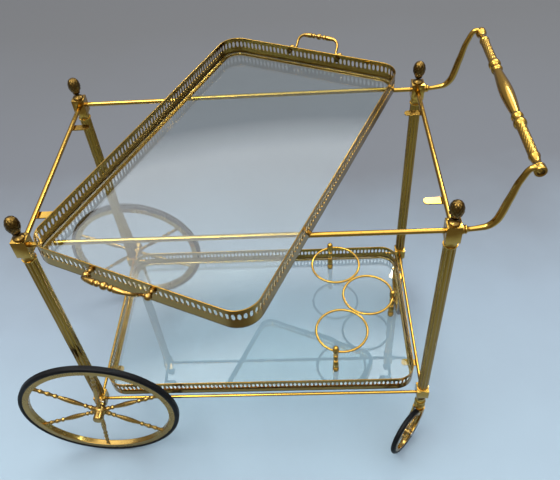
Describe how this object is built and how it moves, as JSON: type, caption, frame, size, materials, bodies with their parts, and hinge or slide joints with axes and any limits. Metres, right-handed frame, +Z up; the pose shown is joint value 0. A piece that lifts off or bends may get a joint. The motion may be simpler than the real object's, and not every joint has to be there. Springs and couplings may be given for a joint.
{
  "type": "serving cart",
  "caption": "Two-tier brass serving cart with glass trays, large spoked wheels, swivel casters, a push handle and a wire bottle holder.",
  "frame": {"origin": "on the floor below the middle of the cart's overall box", "axes": "+Z up, +X towards the push handle and the casters, -X towards the large wheels, -Y the cart's left side seen from behind the push handle"},
  "size_m": [0.8754, 0.6716, 0.7024],
  "materials": {
    "brass": "polished, slightly aged",
    "dark_brass": "dark patina",
    "steel": "plain",
    "tyre": "satin",
    "glass": "clear"
  },
  "bodies": {
    "frame": {"leg_front_left": "brass", "leg_front_right": "brass", "leg_rear_left": "brass", "leg_rear_right": "brass", "top_block_front_left": "brass", "top_block_front_right": "brass", "top_block_rear_left": "brass", "top_block_rear_right": "brass", "bottom_block_front_left": "brass", "bottom_block_front_right": "brass", "bottom_block_rear_left": "brass", "bottom_block_rear_right": "brass", "finial_nuts": "dark_brass", "leg_tie_rods": "steel", "top_rail_left": "brass", "top_rail_right": "brass", "top_rail_front": "brass", "top_rail_rear": "brass", "bottom_rail_left": "brass", "bottom_rail_right": "brass", "bottom_rail_front": "brass", "bottom_rail_rear": "brass", "top_rail_tabs": "brass", "bottom_rail_tabs": "brass", "push_handle_arm_left": "brass", "push_handle_arm_right": "brass", "push_handle_bar": "brass", "push_handle_screws": "dark_brass", "axle_bolts": "steel", "hub_cap_nuts": "brass", "caster_sockets": "brass"},
    "wheel_left": {"wheel_left_tyre": "tyre", "wheel_left_rim": "brass", "wheel_left_spokes": "brass", "wheel_left_hub": "brass"},
    "wheel_right": {"wheel_right_tyre": "tyre", "wheel_right_rim": "brass", "wheel_right_spokes": "brass", "wheel_right_hub": "brass"},
    "caster_left_swivel_body": {"caster_left_fork": "brass", "caster_left_axle": "steel"},
    "caster_left_wheel_body": {"caster_left_tyre": "tyre", "caster_left_wheel": "brass"},
    "caster_right_swivel_body": {"caster_right_fork": "brass", "caster_right_axle": "steel"},
    "caster_right_wheel_body": {"caster_right_tyre": "tyre", "caster_right_wheel": "brass"},
    "upper_tray": {"upper_tray_frame": "brass", "upper_tray_glass": "glass", "tray_handle_front": "brass", "tray_handle_rear": "brass", "tray_handle_screws": "dark_brass"},
    "lower_tray": {"lower_tray_frame": "brass", "lower_tray_glass": "glass", "bottle_ring_rear": "brass", "bottle_ring_middle": "brass", "bottle_ring_front": "brass", "bottle_posts": "brass", "bottle_post_screws": "dark_brass"}
  },
  "joints": [
    {"name": "wheel_left_spin", "type": "hinge", "parent": "frame", "child": "wheel_left", "pos_m": [-0.284, -0.201, 0.155], "axis": [0, 1, 0], "continuous": true},
    {"name": "wheel_right_spin", "type": "hinge", "parent": "frame", "child": "wheel_right", "pos_m": [-0.284, 0.215, 0.155], "axis": [0, 1, 0], "continuous": true},
    {"name": "caster_left_swivel", "type": "hinge", "parent": "frame", "child": "caster_left_swivel_body", "pos_m": [0.333, -0.173, 0.11], "axis": [0, 0, 1], "continuous": true},
    {"name": "caster_left_roll", "type": "hinge", "parent": "caster_left_swivel_body", "child": "caster_left_wheel_body", "pos_m": [0.30922, -0.20134, 0.052], "axis": [0.766, -0.6428, 0], "continuous": true},
    {"name": "caster_right_swivel", "type": "hinge", "parent": "frame", "child": "caster_right_swivel_body", "pos_m": [0.333, 0.187, 0.11], "axis": [0, 0, 1], "continuous": true},
    {"name": "caster_right_roll", "type": "hinge", "parent": "caster_right_swivel_body", "child": "caster_right_wheel_body", "pos_m": [0.333, 0.15, 0.052], "axis": [1, 0, 0], "continuous": true},
    {"name": "upper_tray_lift", "type": "slide", "parent": "frame", "child": "upper_tray", "axis": [0, 0, 1], "range_m": [0, 0.2]},
    {"name": "lower_tray_lift", "type": "slide", "parent": "frame", "child": "lower_tray", "axis": [0, 0, 1], "range_m": [0, 0.3]}
  ]
}
